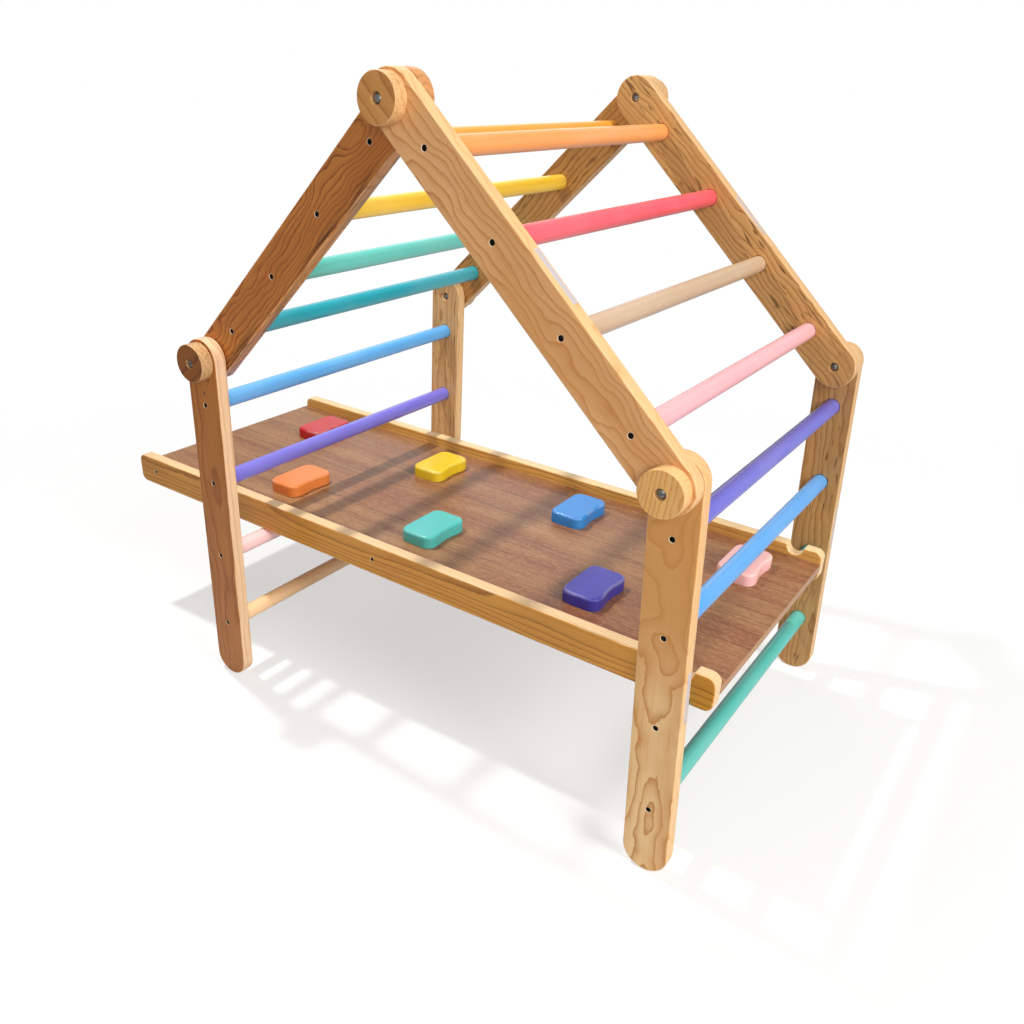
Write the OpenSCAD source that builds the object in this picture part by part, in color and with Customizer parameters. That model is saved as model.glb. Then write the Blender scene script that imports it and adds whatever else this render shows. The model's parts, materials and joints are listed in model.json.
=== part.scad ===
// House-shaped climbing arch: four hinged ladder panels and a climbing board with hand holds.
// Millimetres, +Z up. The origin is on the floor, at the middle of the footprint.

/* [Ladder panels] */
// Width of a frame rail
rail_w = 70; // [62:1:84]
// Thickness of a frame rail
rail_t = 22; // [19:0.5:28]
// Rounding of the long edges of every wooden bar
rail_edge_r = 3; // [1:0.5:5]
// Clear width between the two rails of a panel
panel_clear_w = 612; // [560:1:760]
// Distance between neighbouring rungs
rung_pitch = 140; // [118:1:170]
// Distance from a pivot to the nearest rung
pivot_to_rung = 75; // [66:1:92]

/* [Rungs] */
// Diameter of a rung
rung_d = 28; // [24:0.5:34]
// Depth of the blind socket that holds the end of a rung
socket_depth = 12; // [8:0.5:13]
// Gap around a rung in its socket
socket_gap = 0.3; // [0.1:0.1:0.6]

/* [Stance] */
// Slope of the two roof panels
roof_angle = 44; // [38:0.5:50]
// Outward lean of the two leg panels
leg_lean = 1.5; // [0:0.25:4]

/* [Pivots] */
// Diameter of a knob disc
knob_d = 61; // [50:1:66]
// Thickness of a knob disc
knob_t = 22; // [18:1:28]
// Rounding of the rim of a knob disc
knob_edge_r = 3; // [1:0.5:6]
// Diameter of a pivot bolt
bolt_d = 8; // [6:1:10]
// Gap around a pivot bolt where it turns in wood or in its nut
bolt_gap = 0.08; // [0.03:0.01:0.1]
// Diameter of the domed head of a bolt and of a cap nut
head_d = 14; // [13:0.5:16]
// Height of the domed head of a bolt and of a cap nut
head_h = 3.6; // [3:0.1:4.5]
// Gap around a domed head in its counterbore
head_gap = 0.5; // [0.3:0.1:1]
// Depth of the counterbore for a domed head
head_hole_depth = 4.6; // [4:0.1:6]
// Depth of the square neck under a bolt head
neck_h = 5; // [3:0.5:7]
// Wall of the sleeve of a cap nut
sleeve_wall = 1.25; // [1:0.25:1.75]
// Length of the sleeve of a cap nut
sleeve_h = 12; // [9:0.5:14]
// Gap between the end of a pivot bolt and the dome of its cap nut
bolt_tip_gap = 1; // [0.5:0.5:3]
// Outer diameter of the washer between two rails
washer_d = 26; // [20:1:34]
// Thickness of the washer between two rails
washer_t = 1.5; // [1:0.1:2.5]
// Gap on each side of a face that turns against another one
face_gap = 0.05; // [0.02:0.01:0.1]

/* [Screws] */
// Diameter of the counterbore over a rung screw
screw_hole_d = 8; // [7:0.5:9]
// Depth of the counterbore over a rung screw
screw_hole_depth = 5; // [3:0.5:5.5]
// Diameter of a rung screw's head
screw_head_d = 7.4; // [6.5:0.1:8]
// Height of a rung screw's head
screw_head_h = 2.6; // [2:0.1:3]
// Diameter of a screw's shank
screw_d = 4; // [3:0.5:4.5]
// Length of a rung screw below its head
rung_screw_len = 40; // [30:1:60]
// Diameter of the countersunk head of a hold screw or board screw
small_head_d = 6.6; // [6:0.1:7]
// Height of the countersunk head of a hold screw or board screw
small_head_h = 2.4; // [1.8:0.1:3]
// Diameter of the shank of a hold screw or board screw
small_screw_d = 3.2; // [2.6:0.2:3.6]
// Gap around every screw in its hole
screw_gap = 0.05; // [0.02:0.01:0.1]
// Length of the cross recess in a screw head, as a share of the head's diameter
recess_share = 0.55; // [0.4:0.05:0.65]
// Width of a slot of the cross recess in a screw head
recess_w = 1.1; // [0.8:0.1:1.3]
// Depth of the cross recess in a screw head
recess_depth = 1.2; // [0.8:0.1:1.5]

/* [Climbing board] */
// Length of the climbing board
board_len = 1238; // [1120:1:1400]
// Overall width of the climbing board
board_w = 480; // [420:1:500]
// Height of a board rail
board_rail_h = 56; // [50:1:66]
// Thickness of a board rail
board_rail_t = 22; // [18:1:26]
// Corner radius at the ends of a board rail
board_rail_corner_r = 14; // [8:1:18]
// Thickness of the plywood panel
ply_t = 15; // [12:1:18]
// Distance from the right end of the board to the middle of its hook notches
notch_inset = 48; // [44:1:60]
// Height of the straight mouth of a hook notch, below its round seat
notch_mouth = 2; // [1:0.5:4]
// Gap around a rung in a hook notch
hook_gap = 0.5; // [0.3:0.1:1.5]
// Gap between the board and the rung that it lies on
rest_gap = 0.3; // [0.3:0.1:1]
// Length of a board screw below its head
board_screw_len = 34; // [25:1:45]
// Distance from each end of the board to the outermost board screw
board_screw_inset = 46; // [40:1:60]
// Depth to which a board screw's head is sunk
board_screw_sink = 1; // [0.5:0.5:2]

/* [Holds] */
// Length of a hold across the board
hold_l = 105; // [85:1:125]
// Width of a hold along the board
hold_w = 68; // [58:1:82]
// Height of a hold
hold_t = 22; // [18:1:26]
// Corner radius of a hold
hold_corner_r = 16; // [8:1:20]
// Depth of the finger hollow in a hold's side
hollow_depth = 3.5; // [2:0.5:6]
// Radius of the finger hollow
hollow_r = 110; // [80:5:130]
// Distance from the left end of the board to the first hold
hold_first = 161; // [120:1:175]
// Distance between neighbouring holds along the board
hold_pitch = 163; // [140:1:170]
// Distance from the middle of the board to a row of holds
hold_row_y = 114; // [90:1:125]
// Distance between the two screws of a hold
hold_screw_pitch = 52; // [40:1:60]
// Length of a hold screw below its head
hold_screw_len = 30; // [25:1:32]

/* [Hidden] */
$fn = 64;
SIDES = ["front", "back"];
PANELS = ["left_leg", "left_roof", "right_roof", "right_leg"];
PIVOTS = ["left_front", "top_front", "right_front", "left_back", "top_back", "right_back"];
HOLDS = ["red", "orange", "yellow", "turquoise", "blue", "purple", "pink"];
RUNGS = [0, 1, 2, 3];

PINE = "#d9a566";
DARK_PINE = "#b98148";
BOARD_PINE = "#e3bb7b";
PLY = "#a5704c";
STEEL = "#8e8e90";
BLACK_STEEL = "#2c2c2e";
RUNG_COLOURS = [
    ["#5c97dc", "#6a5ccb", "#f5b6bd", "#caa27f"],
    ["#20a3a0", "#58c7a8", "#f2c026", "#f09c2e"],
    ["#f28a3b", "#e9404f", "#dcae83", "#f6b3c0"],
    ["#7a68d4", "#67aeee", "#1fa79c", "#54c6a6"]
];
HOLD_COLOURS = ["#d8232f", "#f4813a", "#f0bf14", "#57c2a8", "#3a80d8", "#5b4bc0", "#f0a6ad"];

// Lengths along a panel, and the places of the three pivots
panel_len = 2 * pivot_to_rung + (len(RUNGS) - 1) * rung_pitch;
half_span = panel_len * cos(roof_angle);
pivot_z = rail_w / 2 + panel_len * cos(leg_lean);
apex_z = pivot_z + panel_len * sin(roof_angle);

// Widths across the panels: the leg and roof panels overlap like links of a chain
pivot_gap = washer_t + 2 * face_gap;
layer_step = rail_t + pivot_gap;
panel_w = panel_clear_w + 2 * rail_t;
frame_w = panel_w + layer_step;

// Pose of the board, with its origin at the middle of the rung it hooks over
hook_r = rung_d / 2 + hook_gap;
hook_rung = 2;
rest_rung = 2;
hook_reach = pivot_to_rung + hook_rung * rung_pitch;
rest_reach = pivot_to_rung + rest_rung * rung_pitch;
hook_dx = 2 * half_span + (hook_reach + rest_reach) * sin(leg_lean);
board_tilt = asin((rung_d / 2 + rest_gap + notch_mouth) / hook_dx);
board_left = notch_inset - board_len;
board_corner_z = board_rail_h - notch_mouth - board_rail_corner_r;

// The footprint runs from the left end of the board to the right foot, and its middle is at X = 0
hook_from_top_x = half_span + hook_reach * sin(leg_lean);
left_reach = hook_from_top_x + (board_left + board_rail_corner_r) * cos(board_tilt)
    + board_corner_z * sin(board_tilt) - board_rail_corner_r;
right_reach = half_span + panel_len * sin(leg_lean) + rail_w / 2;
top_x = -(left_reach + right_reach) / 2;

// Start point and direction of each panel, seen from the front
PANEL_START = [
    [top_x - half_span, pivot_z],
    [top_x - half_span, pivot_z],
    [top_x, apex_z],
    [top_x + half_span, pivot_z]
];
PANEL_ANGLE = [-90 - leg_lean, roof_angle, -roof_angle, -90 + leg_lean];
PIVOT_X = [top_x - half_span, top_x, top_x + half_span];
PIVOT_Z = [pivot_z, apex_z, pivot_z];

// Panels 0 and 2 stand nearer the front than panels 1 and 3
function panel_y(p) = (p % 2 == 0 ? -1 : 1) * layer_step / 2;
// Pivots lie at one end of a leg panel and at both ends of a roof panel
function panel_pivots(p) = p == 0 || p == 3 ? [0] : [0, panel_len];
// The cap nuts sit in the inner rail of each pair: the front one of panels 1 and 3, the back one of 0 and 2
function has_nuts(p, side) = (p % 2 == 1) == (side == 0);
function nut_side(p) = p % 2 == 1 ? 0 : 1;

cap_ball_r = (head_d * head_d / 4 + head_h * head_h) / (2 * head_h);
sleeve_d = bolt_d + 2 * sleeve_wall;
bolt_end = layer_step + rail_t - head_hole_depth - bolt_tip_gap;
ply_z = (board_rail_h - ply_t) / 2 - notch_mouth;
ply_w = board_w - 2 * board_rail_t;
small_cut = 0.2;

// ---------- Placing ----------

// Puts a child drawn along +X, centred across, onto panel p
module on_panel(p) {
    translate([PANEL_START[p][0], panel_y(p), PANEL_START[p][1]])
        rotate([0, -PANEL_ANGLE[p], 0])
            children();
}

// Puts a child whose outer face is at Y = 0, facing -Y, onto one side of a body of width w
module on_side(side, w) {
    mirror([0, side, 0])
        translate([0, -w / 2, 0])
            children();
}

// Puts a child drawn from the outer face of the outer rail, going inwards along +Y, onto pivot k
module on_pivot(k) {
    translate([PIVOT_X[k % 3], 0, PIVOT_Z[k % 3]])
        on_side(k < 3 ? 0 : 1, frame_w)
            children();
}

module on_board() {
    translate([top_x + hook_from_top_x, 0, pivot_z - hook_reach * cos(leg_lean)])
        rotate([0, board_tilt, 0])
            children();
}

// Turns a child drawn along +Z so that it goes inwards along +Y
module inwards() {
    rotate([-90, 0, 0]) children();
}

// ---------- Shared shapes ----------

// Rounded rectangle made of true arcs, centred
module rounded_rect(x, y, r) {
    square([x - 2 * r, y], center = true);
    square([x, y - 2 * r], center = true);
    for (sx = [-1, 1], sy = [-1, 1])
        translate([sx * (x / 2 - r), sy * (y / 2 - r)])
            circle(r);
}

// Disc from Z = 0 to t, with both rim edges rounded
module soft_disc(d, t, r) {
    rotate_extrude($fn = 96)
        intersection() {
            translate([0, t / 2]) rounded_rect(d, t, r);
            square([d, t]);
        }
}

// Flat bar with half-round ends about X = 0 and X = l, outer face at Y = 0, and eased edges
module soft_bar(l, w, t, r) {
    for (x = [0, l])
        translate([x, 0, 0]) inwards() soft_disc(w, t, r);
    translate([0, t / 2, 0])
        rotate([90, 0, 90])
            linear_extrude(l) rounded_rect(t, w, r);
}

// Low dome on Z = 0, rising to h
module dome() {
    intersection() {
        translate([0, 0, head_h - cap_ball_r]) sphere(cap_ball_r, $fn = 96);
        cylinder(d = head_d, h = head_h);
    }
}

// Cross recess in a screw head of diameter d
module cross_recess(d) {
    for (a = [0, 90])
        rotate([0, 0, a])
            translate([0, 0, recess_depth / 2])
                cube([d * recess_share, recess_w, recess_depth], center = true);
}

// Screw with a cheese head from Z = 0 and its shank going on along +Z
module cheese_screw() {
    difference() {
        cylinder(d = screw_head_d, h = screw_head_h);
        cross_recess(screw_head_d);
    }
    translate([0, 0, screw_head_h]) cylinder(d = screw_d, h = rung_screw_len);
}

// Screw with a countersunk head from Z = 0 and its shank going on along +Z
module flat_screw(l) {
    difference() {
        cylinder(d1 = small_head_d, d2 = small_screw_d, h = small_head_h);
        cross_recess(small_head_d);
    }
    translate([0, 0, small_head_h]) cylinder(d = small_screw_d, h = l);
}

// Room for a flat_screw whose head is sunk by sink
module flat_screw_hole(l, sink) {
    d = small_head_d + 2 * screw_gap;
    translate([0, 0, -small_cut]) cylinder(d = d, h = sink + small_cut);
    translate([0, 0, sink])
        cylinder(d1 = d, d2 = small_screw_d + 2 * screw_gap, h = small_head_h);
    translate([0, 0, sink]) cylinder(d = small_screw_d + 2 * screw_gap, h = small_head_h + l + screw_gap);
}

// ---------- Ladder panels ----------

// Rail with its outer face at Y = 0, drawn from its first pivot along +X
module rail(p, side) {
    nuts = has_nuts(p, side);
    color(p == 1 ? DARK_PINE : PINE)
        difference() {
            soft_bar(panel_len, rail_w, rail_t, rail_edge_r);
            for (i = RUNGS)
                translate([pivot_to_rung + i * rung_pitch, 0, 0]) inwards() {
                    translate([0, 0, rail_t - socket_depth])
                        cylinder(d = rung_d + 2 * socket_gap, h = socket_depth + small_cut);
                    translate([0, 0, -small_cut])
                        cylinder(d = screw_hole_d, h = screw_hole_depth + small_cut);
                    cylinder(d = screw_d + 2 * screw_gap, h = rail_t);
                }
            for (x = panel_pivots(p))
                translate([x, 0, 0]) inwards() {
                    translate([0, 0, -small_cut])
                        cylinder(d = bolt_d + 2 * bolt_gap, h = rail_t + 2 * small_cut);
                    if (nuts) {
                        translate([0, 0, rail_t - head_hole_depth])
                            cylinder(d = head_d + 2 * head_gap, h = head_hole_depth + small_cut);
                        translate([0, 0, rail_t - head_hole_depth - sleeve_h])
                            cylinder(d = sleeve_d + 2 * screw_gap, h = sleeve_h + small_cut);
                    }
                }
        }
}

// Rung i of panel p, with a pilot hole for a screw in each end
module rung(p, i) {
    l = panel_clear_w + 2 * (socket_depth - screw_gap);
    pilot = screw_hole_depth + rung_screw_len - (rail_t - socket_depth);
    color(RUNG_COLOURS[p][i])
        translate([pivot_to_rung + i * rung_pitch, 0, 0])
            inwards()
                difference() {
                    cylinder(d = rung_d, h = l, center = true);
                    for (s = [0, 1])
                        mirror([0, 0, s])
                            translate([0, 0, l / 2 - pilot])
                                cylinder(d = screw_d + 2 * screw_gap, h = pilot + small_cut);
                }
}

// All the rung screws of a panel, with their heads at the bottom of the counterbores
module rung_screws() {
    color(BLACK_STEEL)
        for (side = [0, 1], i = RUNGS)
            on_side(side, panel_w)
                translate([pivot_to_rung + i * rung_pitch, screw_hole_depth - screw_head_h, 0])
                    inwards() cheese_screw();
}

// Cap nuts of panel p: a dome in a counterbore of the inner face and a sleeve in the rail
module cap_nuts(p) {
    color(STEEL)
        on_side(nut_side(p), panel_w)
            for (x = panel_pivots(p))
                translate([x, rail_t - head_hole_depth, 0]) inwards()
                    difference() {
                        union() {
                            dome();
                            translate([0, 0, -sleeve_h]) cylinder(d = sleeve_d, h = sleeve_h);
                        }
                        translate([0, 0, -sleeve_h - small_cut])
                            cylinder(d = bolt_d + 2 * bolt_gap, h = sleeve_h + small_cut);
                    }
}

// Washers between the rails of panel p and of its neighbours
module washers(p) {
    color(STEEL)
        on_side(nut_side(p), panel_w)
            for (x = panel_pivots(p))
                translate([x, -face_gap - washer_t, 0]) inwards()
                    difference() {
                        cylinder(d = washer_d, h = washer_t);
                        translate([0, 0, -small_cut])
                            cylinder(d = bolt_d + 2 * bolt_gap, h = washer_t + 2 * small_cut);
                    }
}

// ---------- Pivot knobs ----------

// Wooden disc with a counterbore and a square hole for the neck of its bolt
module knob_disc() {
    color(PINE)
        translate([0, -face_gap - knob_t, 0]) inwards()
            difference() {
                soft_disc(knob_d, knob_t, knob_edge_r);
                translate([0, 0, -small_cut])
                    cylinder(d = head_d + 2 * head_gap, h = head_hole_depth + small_cut);
                translate([0, 0, head_hole_depth])
                    cube([bolt_d + 2 * screw_gap, bolt_d + 2 * screw_gap, 2 * neck_h], center = true);
                cylinder(d = bolt_d + 2 * bolt_gap, h = knob_t + small_cut);
            }
}

// Bolt with a domed head, a square neck and a shank that reaches into the cap nut
module knob_bolt() {
    seat = head_hole_depth - knob_t - face_gap;
    color(STEEL)
        translate([0, seat, 0]) inwards() {
            mirror([0, 0, 1]) dome();
            translate([0, 0, neck_h / 2]) cube([bolt_d, bolt_d, neck_h], center = true);
            cylinder(d = bolt_d, h = bolt_end - seat);
        }
}

// ---------- Climbing board ----------

// Outline of a board rail, with X along the board and Y up, about the hook rung
module board_rail_outline() {
    difference() {
        translate([notch_inset - board_len / 2, board_rail_h / 2 - notch_mouth])
            rounded_rect(board_len, board_rail_h, board_rail_corner_r);
        for (top = [0, 1])
            translate([0, top * (board_rail_h - 2 * notch_mouth)])
                mirror([0, top]) {
                    circle(hook_r, $fn = 96);
                    translate([-hook_r, -notch_mouth - small_cut])
                        square([2 * hook_r, notch_mouth + small_cut]);
                }
    }
}

// Places of the board screws along the board
function board_screw_x(i) =
    board_left + board_screw_inset + i * (board_len - 2 * board_screw_inset) / 2;

module board_rail(side) {
    color(BOARD_PINE)
        on_side(side, board_w)
            difference() {
                translate([0, board_rail_t, 0]) rotate([90, 0, 0])
                    linear_extrude(board_rail_t) board_rail_outline();
                for (i = [0, 1, 2])
                    translate([board_screw_x(i), 0, ply_z + ply_t / 2]) inwards()
                        flat_screw_hole(board_screw_len, board_screw_sink);
            }
}

module board_screws() {
    color(BLACK_STEEL)
        for (side = [0, 1], i = [0, 1, 2])
            on_side(side, board_w)
                translate([board_screw_x(i), board_screw_sink, ply_z + ply_t / 2])
                    inwards() flat_screw(board_screw_len);
}

module plywood_panel() {
    color(PLY)
        difference() {
            translate([board_left, -ply_w / 2, ply_z]) cube([board_len, ply_w, ply_t]);
            for (side = [0, 1], i = [0, 1, 2])
                on_side(side, board_w)
                    translate([board_screw_x(i), 0, ply_z + ply_t / 2]) inwards()
                        flat_screw_hole(board_screw_len, board_screw_sink);
            for (i = [0:len(HOLDS) - 1])
                at_hold(i) hold_screw_places() flat_screw_hole(hold_screw_len, 0);
        }
}

// Holds stand on the panel in two staggered rows
module at_hold(i) {
    translate([board_left + hold_first + i * hold_pitch, (i % 2 == 0 ? 1 : -1) * hold_row_y, ply_z])
        children();
}

module hold_screw_places() {
    for (s = [-1, 1])
        translate([-hollow_depth / 2, s * hold_screw_pitch / 2, 0])
            children();
}

// Rounded block with a finger hollow in its right side
module hold(i) {
    color(HOLD_COLOURS[i])
        at_hold(i)
            difference() {
                translate([0, 0, ply_t])
                    linear_extrude(hold_t)
                        difference() {
                            rounded_rect(hold_w, hold_l, hold_corner_r);
                            translate([hold_w / 2 - hollow_depth + hollow_r, 0]) circle(hollow_r, $fn = 96);
                        }
                hold_screw_places() flat_screw_hole(hold_screw_len, 0);
            }
}

module hold_screws() {
    color(BLACK_STEEL)
        for (i = [0:len(HOLDS) - 1])
            at_hold(i) hold_screw_places() flat_screw(hold_screw_len);
}

// ---------- Nodes ----------

for (p = [0:3]) {
    for (s = [0, 1])
        on_panel(p) on_side(s, panel_w) rail(p, s);
    for (i = RUNGS)
        on_panel(p) rung(p, i);
    on_panel(p) rung_screws();
    on_panel(p) cap_nuts(p);
    on_panel(p) washers(p);
}
for (k = [0:5]) {
    on_pivot(k) knob_disc();
    on_pivot(k) knob_bolt();
}
on_board() board_rail(0);  // board_front_rail
on_board() board_rail(1);  // board_back_rail
on_board() plywood_panel();
on_board() board_screws();
on_board() hold_screws();
for (i = [0:len(HOLDS) - 1])
    on_board() hold(i);
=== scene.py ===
import json
import math
import bmesh
import bpy
import numpy as np
from mathutils import Matrix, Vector
from mathutils.geometry import tessellate_polygon


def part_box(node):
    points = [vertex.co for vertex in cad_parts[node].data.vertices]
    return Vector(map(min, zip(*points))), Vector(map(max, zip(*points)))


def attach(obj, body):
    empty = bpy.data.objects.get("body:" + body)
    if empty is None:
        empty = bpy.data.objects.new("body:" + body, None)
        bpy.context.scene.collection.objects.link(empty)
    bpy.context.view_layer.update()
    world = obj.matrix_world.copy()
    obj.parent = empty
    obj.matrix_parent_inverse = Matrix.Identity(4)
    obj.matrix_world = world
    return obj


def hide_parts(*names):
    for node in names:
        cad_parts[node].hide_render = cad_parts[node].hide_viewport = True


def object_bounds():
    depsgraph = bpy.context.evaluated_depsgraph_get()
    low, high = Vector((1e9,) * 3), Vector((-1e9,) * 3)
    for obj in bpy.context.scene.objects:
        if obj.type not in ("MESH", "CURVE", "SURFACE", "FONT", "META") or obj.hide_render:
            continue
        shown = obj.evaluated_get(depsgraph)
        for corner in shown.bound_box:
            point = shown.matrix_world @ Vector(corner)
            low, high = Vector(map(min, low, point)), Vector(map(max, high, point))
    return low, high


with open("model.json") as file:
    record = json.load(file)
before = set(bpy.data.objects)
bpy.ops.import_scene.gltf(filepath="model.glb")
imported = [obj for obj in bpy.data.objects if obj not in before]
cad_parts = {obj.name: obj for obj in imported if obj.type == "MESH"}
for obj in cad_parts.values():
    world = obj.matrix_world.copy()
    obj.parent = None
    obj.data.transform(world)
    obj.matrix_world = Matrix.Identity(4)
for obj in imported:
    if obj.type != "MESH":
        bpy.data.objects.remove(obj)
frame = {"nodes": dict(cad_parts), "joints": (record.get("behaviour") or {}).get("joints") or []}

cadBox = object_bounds()
print("stage: frame loaded,", len(frame["nodes"]), "nodes")

jointPlace = {j["name"]: np.array(j["pos_m"]) for j in frame["joints"]}
panelNames = ["left_leg", "left_roof", "right_roof", "right_leg"]
panelStart = dict(zip(panelNames, ["left_fold", "left_fold", "top_fold", "right_fold"]))
rungNumbers = [1, 2, 3, 4]
sides = {"front": 1.0, "back": -1.0}


def boxMiddle(node):
    low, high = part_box(node)
    return (np.array(low) + np.array(high)) / 2


def boxSize(node):
    low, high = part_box(node)
    return np.array(high) - np.array(low)


def outerFace(node, side):
    # where the node's outer face is along the width of the object
    low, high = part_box(node)
    return low[1] if side == "front" else high[1]


# camera, light and floor
cameraSet = {
    "place": (0.95287, -1.25172, 1.0287),
    "right": (0.824658, 0.564975, 0.027245),
    "up": (-0.265177, 0.343619, 0.900892),
    "lens": 32.396,
    "sensor": 36.0,
    "shift": (0.00296, 0.00647),
    "reach": 60.0,
}

lightSet = {
    "high left": {"place": (-1.0, -0.15, 2.6), "aim": (0.0, 0.0, 0.4), "size": 0.13, "power": 46,
                  "tint": (1.0, 0.98, 0.95)},
    "right side": {"place": (5.0, -0.8, 3.3), "aim": (0.0, 0.0, 0.5), "size": 2.6, "power": 290,
                   "tint": (1.0, 0.98, 0.94)},
    "right front": {"place": (1.5, -2.0, 1.3), "aim": (0.3, -0.2, 0.5), "size": 0.9, "power": 14,
                    "tint": (1.0, 0.98, 0.96)},
    "back sky": {"place": (-2.2, 3.3, 2.2), "aim": (0.0, 0.0, 0.3), "size": 2.6, "power": 15,
                 "tint": (0.97, 0.99, 1.0)},
}
surround = {"light": 0.36, "backdrop": 1.0}

floorSet = {"reach": 6.0, "solid": 0.75, "gone": 1.9, "strength": 0.5, "tone": (0.93, 0.928, 0.925),
            "darker": (0.9, 0.897, 0.893)}


def unit(v):
    v = np.asarray(v, float)
    return v / np.linalg.norm(v)


def makeCamera():
    right, up = unit(cameraSet["right"]), unit(cameraSet["up"])
    back = np.cross(right, up)
    cam = bpy.data.objects.new("Camera", bpy.data.cameras.new("Camera"))
    turn = np.eye(4)
    turn[:3, 0], turn[:3, 1], turn[:3, 2], turn[:3, 3] = right, up, back, cameraSet["place"]
    cam.matrix_world = Matrix(turn.tolist())
    cam.data.sensor_width = cameraSet["sensor"]
    cam.data.lens = cameraSet["lens"]
    cam.data.shift_x, cam.data.shift_y = cameraSet["shift"]
    cam.data.clip_end = cameraSet["reach"]
    bpy.context.scene.collection.objects.link(cam)
    bpy.context.scene.camera = cam


def makeLight(name, spec):
    data = bpy.data.lights.new(name, "AREA")
    data.shape = "DISK"
    data.size, data.energy, data.color = spec["size"], spec["power"], spec["tint"]
    lamp = bpy.data.objects.new(name, data)
    back = unit(np.array(spec["place"]) - np.array(spec["aim"]))
    right = unit(np.cross((0.0, 0.0, 1.0), back))
    turn = np.eye(4)
    turn[:3, 0], turn[:3, 1], turn[:3, 2], turn[:3, 3] = right, np.cross(back, right), back, spec["place"]
    lamp.matrix_world = Matrix(turn.tolist())
    lamp.visible_camera = False
    bpy.context.scene.collection.objects.link(lamp)


# shader maths

class Wire:
    # a socket of one node tree; arithmetic on it adds Math nodes
    def __init__(self, tree, socket=None):
        self.tree, self.socket = tree, socket

    def make(self, kind, settings=None, inputs=None, output=0):
        node = self.tree.nodes.new("ShaderNode" + kind)
        for key, value in (settings or {}).items():
            if key == "stops":
                ramp = node.color_ramp
                for k, (spot, shade) in enumerate(value):
                    stop = ramp.elements[k] if k < 2 else ramp.elements.new(spot)
                    stop.position = spot
                    stop.color = (*shade, 1.0)
            else:
                setattr(node, key, value)
        for key, value in (inputs or {}).items():
            if isinstance(value, Wire):
                self.tree.links.new(value.socket, node.inputs[key])
            else:
                node.inputs[key].default_value = value
        return Wire(self.tree, node.outputs[output])

    def maths(self, operation, a, b=0.0, c=0.0):
        return self.make("Math", {"operation": operation}, {0: a, 1: b, 2: c})

    def __add__(self, other):
        return self.maths("ADD", self, other)

    def __sub__(self, other):
        return self.maths("SUBTRACT", self, other)

    def __rsub__(self, other):
        return self.maths("SUBTRACT", other, self)

    def __mul__(self, other):
        return self.maths("MULTIPLY", self, other)

    def __truediv__(self, other):
        return self.maths("DIVIDE", self, other)

    def __pow__(self, other):
        return self.maths("POWER", self, other)

    __radd__ = __add__
    __rmul__ = __mul__

    def span(self, low, high):
        # 0 at low, 1 at high, clamped and eased between
        return self.make("MapRange", {"interpolation_type": "SMOOTHSTEP"},
                         {"Value": self, "From Min": low, "From Max": high})


def shade(code):
    # linear colour from an everyday hex code
    parts = np.array([int(code[k:k + 2], 16) for k in (1, 3, 5)]) / 255.0
    return tuple(np.where(parts <= 0.04045, parts / 12.92, ((parts + 0.055) / 1.055) ** 2.4).tolist())


def blend(wire, factor, a, b, kind="MIX"):
    # mixes two colours, each of them a wire or three numbers; the node's colours are its sockets 6 and 7
    full = lambda c: c if isinstance(c, Wire) else (*c, 1.0)
    return wire.make("Mix", {"data_type": "RGBA", "blend_type": kind}, {0: factor, 6: full(a), 7: full(b)}, 2)


def newFinish(name):
    material = bpy.data.materials.new(name)
    material.use_nodes = True
    tree = material.node_tree
    return material, Wire(tree), tree.nodes["Principled BSDF"]


def feed(wire, shader, values):
    for key, value in values.items():
        if isinstance(value, Wire):
            wire.tree.links.new(value.socket, shader.inputs[key])
        else:
            shader.inputs[key].default_value = value


def localPlace(wire, origin, turn):
    # Object coordinates measured from origin along the piece's own axes
    raw = wire.make("TexCoord", output="Object")
    return wire.make("Mapping", {"vector_type": "TEXTURE"},
                     {"Vector": raw, "Location": tuple(origin), "Rotation": turn})


def edgeWearAndShade(wire):
    # what addPiece stores at the points: 0 to 1 on rounded edges, more on the rims and walls of bores; the pine finish
    # paints the walls' value as shade
    return wire.make("Attribute", {"attribute_name": "edge"}, output="Fac")


def stretched(wire, place, scale, shift):
    # the three axes move by different shares of the shift, so that no two patterns line up
    move = (shift, shift * 0.37, shift * 0.71)
    return wire.make("Mapping", {}, {"Vector": place, "Scale": scale, "Location": move})


def noise(wire, place, scale, shift, detail=2.0, roughness=0.5, lacunarity=2.0):
    spot = stretched(wire, place, scale, shift)
    return wire.make("TexNoise", {}, {"Vector": spot, "Scale": 1.0, "Detail": detail, "Roughness": roughness,
                                      "Lacunarity": lacunarity})


def makeSurround():
    # an even white room: dimmer as a light than it looks behind the object
    world = bpy.data.worlds.new("studio")
    bpy.context.scene.world = world
    world.use_nodes = True
    w = Wire(world.node_tree)
    seen = w.make("LightPath", output=0)
    power = seen * (surround["backdrop"] - surround["light"]) + surround["light"]
    background = world.node_tree.nodes["Background"]
    background.inputs["Color"].default_value = (1.0, 1.0, 1.0, 1.0)
    world.node_tree.links.new(power.socket, background.inputs["Strength"])
    bpy.context.scene.view_settings.view_transform = "Standard"


# meshes from arrays

def ringFaces(rings, count):
    # quads between neighbouring closed rings of count points each
    k, i = np.meshgrid(np.arange(rings - 1), np.arange(count), indexing="ij")
    j = (i + 1) % count
    here, below = k * count, (k + 1) * count
    return np.stack([here + i, below + i, below + j, here + j], -1).reshape(-1, 4)


def gridFaces(rows, cols):
    # quads of an open sheet
    k, i = np.meshgrid(np.arange(rows - 1), np.arange(cols - 1), indexing="ij")
    here, below = k * cols + i, (k + 1) * cols + i
    return np.stack([here, below, below + 1, here + 1], -1).reshape(-1, 4)


def circle(count):
    angle = np.arange(count) * 2 * math.pi / count
    return np.stack([np.cos(angle), np.sin(angle)], -1)


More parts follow.
